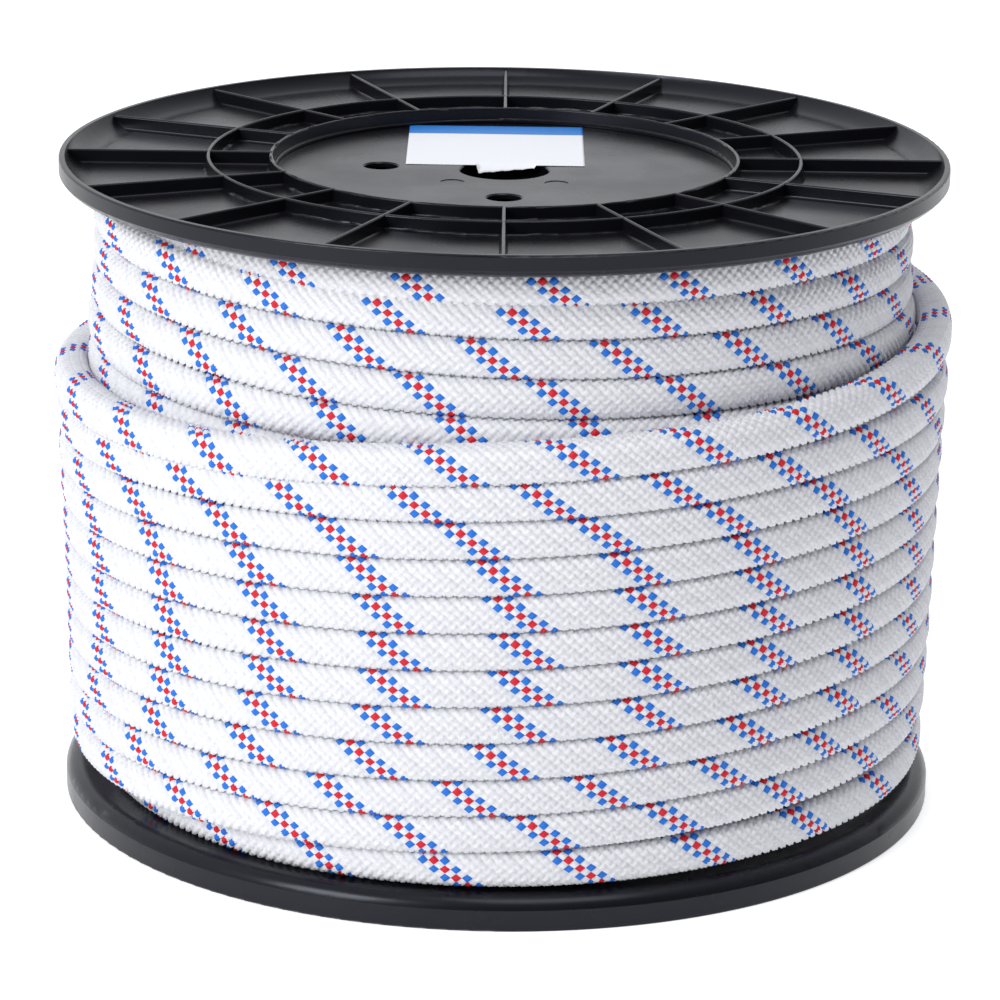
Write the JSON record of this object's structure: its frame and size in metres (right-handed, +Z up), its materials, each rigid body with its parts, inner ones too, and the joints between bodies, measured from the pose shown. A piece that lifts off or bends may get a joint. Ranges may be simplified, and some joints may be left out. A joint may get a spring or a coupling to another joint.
{
  "type": "dock line on a reel",
  "caption": "White braided dock line with a blue and red tracer, wound in layers on a black moulded plastic reel with ribbed flanges and a round spindle bore.",
  "frame": {"origin": "on the reel's axis, at the surface that its lower flange stands on", "axes": "+Z up along the spindle bore, -Y towards the side from which the label reads upright"},
  "size_m": [0.3016, 0.3039, 0.2224],
  "materials": {
    "reel_plastic": "satin moulded",
    "rope_braid": "braided filament yarn",
    "end_tape": "smooth adhesive tape",
    "label_paper": "coated paper"
  },
  "bodies": {
    "root": {"upper_flange": "reel_plastic", "lower_flange": "reel_plastic", "barrel": "reel_plastic", "arbor_tube": "reel_plastic", "rope_full_layers": "rope_braid", "rope_outer_layer": "rope_braid", "rope_tail": "rope_braid", "rope_end_tape": "end_tape", "label": "label_paper"}
  },
  "joints": []
}
